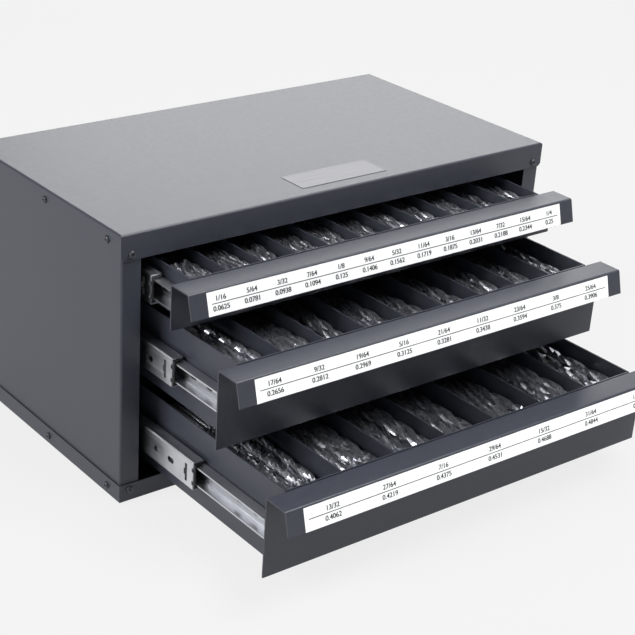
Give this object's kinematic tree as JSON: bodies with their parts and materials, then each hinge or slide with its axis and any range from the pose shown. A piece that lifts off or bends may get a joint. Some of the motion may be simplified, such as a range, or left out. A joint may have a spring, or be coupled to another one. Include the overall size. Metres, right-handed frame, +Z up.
{
  "type": "drill bit drawer case",
  "caption": "Sheet-steel case with shallow divided drawers on telescopic ball slides, for storing drill bits sorted by size.",
  "frame": {"origin": "centre of the case's footprint on the plane it rests on", "axes": "+Z up; -Y out of the front, the way the drawers open; +X to the right as seen from the front"},
  "size_m": [0.373, 0.3671, 0.1955],
  "materials": {
    "case_paint": "satin slate-grey powder coat",
    "black_screws": "painted with the case",
    "zinc_steel": "bright zinc-plated rolled steel",
    "black_plastic": "black moulded plastic",
    "ball_steel": "polished bearing steel",
    "label_white": "white printed strip with plain size numbers",
    "bit_steel": "ground high-speed steel, dark and glossy"
  },
  "bodies": {
    "case": {"top_cover": "case_paint", "base_pan": "case_paint", "left_side_panel": "case_paint", "right_side_panel": "case_paint", "back_panel": "case_paint", "left_slide_uprights": "case_paint", "right_slide_uprights": "case_paint", "case_screws": "black_screws", "outer_rail_screws": "zinc_steel", "upper_left_outer_rail": "zinc_steel", "upper_right_outer_rail": "zinc_steel", "middle_left_outer_rail": "zinc_steel", "middle_right_outer_rail": "zinc_steel", "lower_left_outer_rail": "zinc_steel", "lower_right_outer_rail": "zinc_steel"},
    "upper_drawer": {"upper_drawer_front": "case_paint", "upper_tray": "case_paint", "upper_dividers": "case_paint", "upper_label_strip": "label_white", "upper_left_inner_rail": "zinc_steel", "upper_right_inner_rail": "zinc_steel", "upper_inner_rail_rivets": "zinc_steel", "upper_drill_bits": "bit_steel"},
    "upper_middle_rails": {"upper_left_middle_rail": "zinc_steel", "upper_right_middle_rail": "zinc_steel", "upper_rail_end_stops": "black_plastic"},
    "upper_outer_cages": {"upper_outer_ball_cages": "black_plastic", "upper_outer_balls": "ball_steel"},
    "upper_inner_cages": {"upper_inner_ball_cages": "black_plastic", "upper_inner_balls": "ball_steel"},
    "middle_drawer": {"middle_drawer_front": "case_paint", "middle_tray": "case_paint", "middle_dividers": "case_paint", "middle_label_strip": "label_white", "middle_left_inner_rail": "zinc_steel", "middle_right_inner_rail": "zinc_steel", "middle_inner_rail_rivets": "zinc_steel", "middle_drill_bits": "bit_steel"},
    "middle_middle_rails": {"middle_left_middle_rail": "zinc_steel", "middle_right_middle_rail": "zinc_steel", "middle_rail_end_stops": "black_plastic"},
    "middle_outer_cages": {"middle_outer_ball_cages": "black_plastic", "middle_outer_balls": "ball_steel"},
    "middle_inner_cages": {"middle_inner_ball_cages": "black_plastic", "middle_inner_balls": "ball_steel"},
    "lower_drawer": {"lower_drawer_front": "case_paint", "lower_tray": "case_paint", "lower_dividers": "case_paint", "lower_label_strip": "label_white", "lower_left_inner_rail": "zinc_steel", "lower_right_inner_rail": "zinc_steel", "lower_inner_rail_rivets": "zinc_steel", "lower_drill_bits": "bit_steel"},
    "lower_middle_rails": {"lower_left_middle_rail": "zinc_steel", "lower_right_middle_rail": "zinc_steel", "lower_rail_end_stops": "black_plastic"},
    "lower_outer_cages": {"lower_outer_ball_cages": "black_plastic", "lower_outer_balls": "ball_steel"},
    "lower_inner_cages": {"lower_inner_ball_cages": "black_plastic", "lower_inner_balls": "ball_steel"}
  },
  "joints": [
    {"name": "upper_drawer_slide", "type": "slide", "parent": "case", "child": "upper_drawer", "axis": [0, -1, 0], "range_m": [-0.0555, 0.1125]},
    {"name": "upper_middle_rail_slide", "type": "slide", "parent": "case", "child": "upper_middle_rails", "axis": [0, -1, 0], "range_m": [-0.02785, 0.05635]},
    {"name": "upper_outer_cage_slide", "type": "slide", "parent": "case", "child": "upper_outer_cages", "axis": [0, -1, 0], "range_m": [-0.01397, 0.02823]},
    {"name": "upper_inner_cage_slide", "type": "slide", "parent": "case", "child": "upper_inner_cages", "axis": [0, -1, 0], "range_m": [-0.04172, 0.08447]},
    {"name": "middle_drawer_slide", "type": "slide", "parent": "case", "child": "middle_drawer", "axis": [0, -1, 0], "range_m": [-0.1089, 0.0591]},
    {"name": "middle_middle_rail_slide", "type": "slide", "parent": "case", "child": "middle_middle_rails", "axis": [0, -1, 0], "range_m": [-0.05455, 0.02965]},
    {"name": "middle_outer_cage_slide", "type": "slide", "parent": "case", "child": "middle_outer_cages", "axis": [0, -1, 0], "range_m": [-0.02732, 0.01487]},
    {"name": "middle_inner_cage_slide", "type": "slide", "parent": "case", "child": "middle_inner_cages", "axis": [0, -1, 0], "range_m": [-0.08178, 0.04442]},
    {"name": "lower_drawer_slide", "type": "slide", "parent": "case", "child": "lower_drawer", "axis": [0, -1, 0], "range_m": [-0.163, 0.005]},
    {"name": "lower_middle_rail_slide", "type": "slide", "parent": "case", "child": "lower_middle_rails", "axis": [0, -1, 0], "range_m": [-0.0816, 0.0026]},
    {"name": "lower_outer_cage_slide", "type": "slide", "parent": "case", "child": "lower_outer_cages", "axis": [0, -1, 0], "range_m": [-0.04085, 0.00135]},
    {"name": "lower_inner_cage_slide", "type": "slide", "parent": "case", "child": "lower_inner_cages", "axis": [0, -1, 0], "range_m": [-0.12235, 0.00385]}
  ],
  "couplings": [
    {"joint": "upper_middle_rail_slide", "follows": "upper_drawer_slide", "ratio": 0.5},
    {"joint": "upper_outer_cage_slide", "follows": "upper_drawer_slide", "ratio": 0.25},
    {"joint": "upper_inner_cage_slide", "follows": "upper_drawer_slide", "ratio": 0.75},
    {"joint": "middle_middle_rail_slide", "follows": "middle_drawer_slide", "ratio": 0.5},
    {"joint": "middle_outer_cage_slide", "follows": "middle_drawer_slide", "ratio": 0.25},
    {"joint": "middle_inner_cage_slide", "follows": "middle_drawer_slide", "ratio": 0.75},
    {"joint": "lower_middle_rail_slide", "follows": "lower_drawer_slide", "ratio": 0.5},
    {"joint": "lower_outer_cage_slide", "follows": "lower_drawer_slide", "ratio": 0.25},
    {"joint": "lower_inner_cage_slide", "follows": "lower_drawer_slide", "ratio": 0.75}
  ]
}
